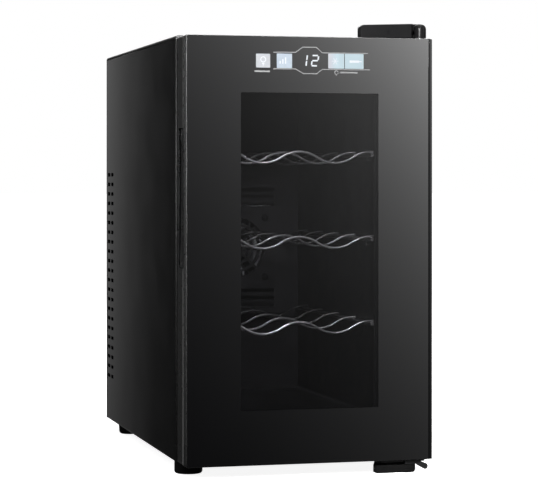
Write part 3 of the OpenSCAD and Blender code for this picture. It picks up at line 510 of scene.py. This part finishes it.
ring(bm, -52.9, 438.2, 2.7, 0.8)
plate(bm, rect(-54.0, -51.8, 433.2, 434.6))
plate(bm, rect(-53.5, -52.3, 431.9, 432.8))
for x, h in ((-34.6, 3.0), (-31.6, 4.8), (-28.6, 6.6)):
    seg(x, 434.0, x, 434.0 + h, 1.2)
for k in range(3):
    a = math.radians(60 * k)
    seg(25.6 - 3.6 * math.cos(a), 437.5 - 3.6 * math.sin(a), 25.6 + 3.6 * math.cos(a), 437.5 + 3.6 * math.sin(a), 0.7)
seg(41.5, 437.3, 52.0, 437.3, 2.4)
seg(52.0, 437.3, 55.0, 437.3, 1.0)
symbols = shown("key_symbols", bm, [INK_WHITE], "door")
for v in symbols.data.vertices:
    if v.co.y < Y_INK + 1e-5:
        v.co.y -= 0.00002

# ---------------------------------------------------------------- rounded edges
def rolled_panel(node, side):
    """A sheet metal side with its long outer edges rolled over; the faces of the front rounding get a painted
    highlight.
    """
    src = frame["nodes"][node]
    bm = bmesh.new()
    bm.from_mesh(src.data)
    bmesh.ops.remove_doubles(bm, verts=bm.verts, dist=2e-6)
    bmesh.ops.dissolve_limit(bm, angle_limit=math.radians(0.6), verts=bm.verts, edges=bm.edges)
    bm.normal_update()
    lo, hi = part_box(node)
    x = lo.x if side < 0 else hi.x
    picked = []
    for e in bm.edges:
        a, b = e.verts[0].co, e.verts[1].co
        if abs(a.x - x) > 1e-5 or abs(b.x - x) > 1e-5:
            continue
        if any(abs(a[k] - c[k]) < 1e-5 and abs(b[k] - c[k]) < 1e-5 for k in (1, 2) for c in (lo, hi)):
            picked.append(e)
    bmesh.ops.bevel(bm, geom=picked, offset=0.0013, segments=5, profile=0.5, affect="EDGES", clamp_overlap=True)
    bm.normal_update()
    # the faces of the front rounding take the painted highlight
    for f in bm.faces:
        if f.calc_center_median().y < lo.y + 0.0014 and f.normal.x * side > 0.12 and f.normal.y < -0.12:
            f.material_index = 1
    o = shown(node + "_finished", bm, [s.material for s in src.material_slots] + [ROLLED_EDGE_HIGHLIGHT], BODY[node], 40)
    w = o.modifiers.new("normals", "WEIGHTED_NORMAL")
    w.keep_sharp = True
    w.weight = 100
    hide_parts(node)
    return o


rolled_panel("left_side_panel", -1)
rolled_panel("right_side_panel", 1)

for n, w, seg_n in (
    ("handle_grip", 0.0006, 3),
    ("top_hinge_cover", 0.0013, 4),
    ("top_hinge_bracket", 0.0003, 2),
    ("bottom_hinge_bracket", 0.0004, 2),
    ("front_left_foot", 0.001, 3),
    ("hinge_foot", 0.001, 3),
    ("rear_feet", 0.001, 3),
    ("wall_spacers", 0.001, 2),
    ("front_frame", 0.0005, 2),
):
    rounded(n, w, seg_n)

TOP_PAINT = surface("satin_top_paint", (0.006, 0.006, 0.0063), 0.42, ior=1.42, var=0.15, scale=9, rvar=0.03, bump=0.00001, bscale=700)
lid = rounded("top_panel", 0.0004, 2)
lid.data.materials[0] = TOP_PAINT
bead_x = min(-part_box("door_frame")[0].x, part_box("door_frame")[1].x) - 0.00005
# the outermost side faces of the door frame take the painted bead highlight
rounded("door_frame", 0.0005, 2, second=BEAD_HIGHLIGHT, pick=lambda c, n: abs(c.x) > bead_x and abs(n.x) > 0.9)
bez_x = min(-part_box("door_bezel")[0].x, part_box("door_bezel")[1].x) - 0.00005
src = frame["nodes"]["door_bezel"]
bm = bmesh.new()
bm.from_mesh(src.data)
bmesh.ops.remove_doubles(bm, verts=bm.verts, dist=2e-6)
bm.normal_update()
# the bezel's left side faces take the painted glass-edge highlight; the right side keeps its plastic
for f in bm.faces:
    if f.calc_center_median().x < -bez_x and abs(f.normal.x) > 0.9:
        f.material_index = 1
bezel = shown("door_bezel_finished", bm, [s.material for s in src.material_slots] + [EDGE_HIGHLIGHT], BODY["door_bezel"], 30)
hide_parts("door_bezel")

# ---------------------------------------------------------------- stage
def stage_plane(name, pts, m):
    bm = bmesh.new()
    bm.faces.new([bm.verts.new(p) for p in pts])
    me = bpy.data.meshes.new(name)
    bm.to_mesh(me)
    bm.free()
    me.materials.append(m)
    o = bpy.data.objects.new(name, me)
    scene.collection.objects.link(o)
    return o


m, nodes, links = new_mat("studio_floor")
out = add(nodes, "ShaderNodeOutputMaterial")
diff = add(nodes, "ShaderNodeBsdfDiffuse")
links.new(ramp(nodes, links, noise(nodes, links, 3.0, 2.0), [(0.3, (0.8, 0.8, 0.8)), (0.7, (0.84, 0.84, 0.84))]), diff.inputs["Color"])
em = add(nodes, "ShaderNodeEmission")
em.inputs["Strength"].default_value = 0.9
sm = add(nodes, "ShaderNodeAddShader")
links.new(diff.outputs[0], sm.inputs[0])
links.new(em.outputs[0], sm.inputs[1])
links.new(sm.outputs[0], out.inputs["Surface"])
floor = stage_plane("studio_floor", [(-40, -40, 0), (40, -40, 0), (40, 40, 0), (-40, 40, 0)], m)
floor.visible_glossy = False
floor.visible_diffuse = False


def card(name, pts, build):
    """A soft light source that shows only in reflections."""
    m, nodes, links = new_mat(name)
    out = add(nodes, "ShaderNodeOutputMaterial")
    em = add(nodes, "ShaderNodeEmission")
    tc = add(nodes, "ShaderNodeTexCoord")
    sep = add(nodes, "ShaderNodeSeparateXYZ")
    links.new(tc.outputs["Object"], sep.inputs[0])
    build(nodes, links, sep, em)
    links.new(em.outputs[0], out.inputs["Surface"])
    o = stage_plane(name, pts, m)
    o.visible_camera = False
    o.visible_diffuse = False
    o.visible_shadow = False
    return o


def math_node(nodes, links, op, a, b=None, clamp=False):
    n = add(nodes, "ShaderNodeMath", operation=op)
    n.use_clamp = clamp
    for i, v in enumerate((a, b)):
        if v is None:
            continue
        if isinstance(v, (int, float)):
            n.inputs[i].default_value = v
        else:
            links.new(v, n.inputs[i])
    return n.outputs[0]


def front_card(nodes, links, sep, em):
    u = math_node(nodes, links, "MULTIPLY_ADD", sep.outputs["X"], 1 / 0.664)
    u.node.inputs[2].default_value = -0.526 / 0.664
    v = math_node(nodes, links, "MULTIPLY_ADD", sep.outputs["Z"], 1 / 1.11)
    v.node.inputs[2].default_value = 0.43 / 1.11
    a = math_node(nodes, links, "MULTIPLY", u, 1.85)
    b = math_node(nodes, links, "MULTIPLY", v, 2.65)
    c = math_node(nodes, links, "ADD", a, b)
    c = math_node(nodes, links, "ADD", c, -3.52)
    d = math_node(nodes, links, "MINIMUM", c, 0.95)
    e = math_node(nodes, links, "EXPONENT", d)
    links.new(e, em.inputs["Strength"])


card("front_reflection", [(-0.6, -3.2, -1.1), (1.55, -3.2, -1.1), (1.55, -3.2, 1.0), (-0.6, -3.2, 1.0)], front_card)


def side_card(nodes, links, sep, em):
    a = math_node(nodes, links, "ADD", sep.outputs["X"], 0.366)
    a = math_node(nodes, links, "MULTIPLY", a, 32.0)
    a = math_node(nodes, links, "MINIMUM", a, 0.8)
    a = math_node(nodes, links, "EXPONENT", a)
    a = math_node(nodes, links, "MULTIPLY", a, 0.2)
    a = math_node(nodes, links, "ADD", a, 0.002)
    z = add(nodes, "ShaderNodeMapRange")
    z.inputs["From Min"].default_value = -0.15
    z.inputs["From Max"].default_value = 0.53
    z.inputs["To Min"].default_value = 0.48
    z.inputs["To Max"].default_value = 1.0
    links.new(sep.outputs["Z"], z.inputs["Value"])
    links.new(math_node(nodes, links, "MULTIPLY", a, z.outputs[0]), em.inputs["Strength"])


card("side_reflection", [(-1.1, 1.5, -0.6), (-0.2, 1.5, -0.6), (-0.2, 1.5, 0.9), (-1.1, 1.5, 0.9)], side_card)


def area(name, loc, target, size, power, color=(1, 1, 1)):
    l = bpy.data.lights.new(name, "AREA")
    l.shape = "RECTANGLE"
    l.size, l.size_y = size
    l.energy = power
    l.color = color
    o = bpy.data.objects.new(name, l)
    scene.collection.objects.link(o)
    o.location = loc
    o.rotation_euler = (Vector(target) - Vector(loc)).to_track_quat("-Z", "Y").to_euler()
    o.visible_camera = False
    return o


area("key_top", (0.1, -0.5, 2.1), (0, 0, 0.3), (1.6, 1.2), 26)
area("fill_left", (-2.2, -0.6, 1.2), (0, 0, 0.25), (0.8, 1.6), 5)
area("fill_right", (2.0, -1.4, 1.3), (0, 0, 0.25), (1.0, 1.4), 14)
area("front_high", (-0.5, -2.7, 1.5), (0, -0.1, 0.25), (1.4, 0.7), 34)
area("rack_glint", (-0.12, -0.95, 0.62), (0.0, -0.18, 0.25), (0.2, 0.16), 15)
area("rim_back", (0.6, 2.2, 1.5), (0, 0, 0.3), (1.4, 1.2), 18)

# ---------------------------------------------------------------- world
w = bpy.data.worlds.new("studio")
scene.world = w
w.use_nodes = True
nodes, links = w.node_tree.nodes, w.node_tree.links
nodes.clear()
out = add(nodes, "ShaderNodeOutputWorld")
lp = add(nodes, "ShaderNodeLightPath")
tc = add(nodes, "ShaderNodeTexCoord")
sep = add(nodes, "ShaderNodeSeparateXYZ")
links.new(tc.outputs["Generated"], sep.inputs[0])
soft = ramp(nodes, links, to_range(nodes, links, sep.outputs["Z"], 0, 1, -1, 1), [(0.35, (0.03, 0.03, 0.03)), (0.55, (0.14, 0.14, 0.14)), (0.9, (0.42, 0.42, 0.42))])
bg1 = add(nodes, "ShaderNodeBackground")
bg2 = add(nodes, "ShaderNodeBackground")
links.new(soft, bg1.inputs["Color"])
bg2.inputs["Color"].default_value = (1, 1, 1, 1)
bg2.inputs["Strength"].default_value = 1.0
mx = add(nodes, "ShaderNodeMixShader")
links.new(lp.outputs["Is Camera Ray"], mx.inputs[0])
links.new(bg1.outputs[0], mx.inputs[1])
links.new(bg2.outputs[0], mx.inputs[2])
links.new(mx.outputs[0], out.inputs["Surface"])

# ---------------------------------------------------------------- camera and colour
cam = bpy.data.cameras.new("camera")
cam.sensor_width = 36
cam.sensor_fit = "HORIZONTAL"
cam.lens = 134.74
cam.shift_x = 0.0
cam.shift_y = -0.13183
cam.clip_start = 0.05
cam.clip_end = 200
co = bpy.data.objects.new("camera", cam)
scene.collection.objects.link(co)
co.location = (-0.580, -2.2777, 0.3126)
co.rotation_euler = (math.radians(90), 0, math.radians(-14.719))
scene.camera = co
scene.view_settings.view_transform = "Standard"
scene.view_settings.look = "None"
scene.view_settings.exposure = 0.0
scene.view_settings.gamma = 1.0
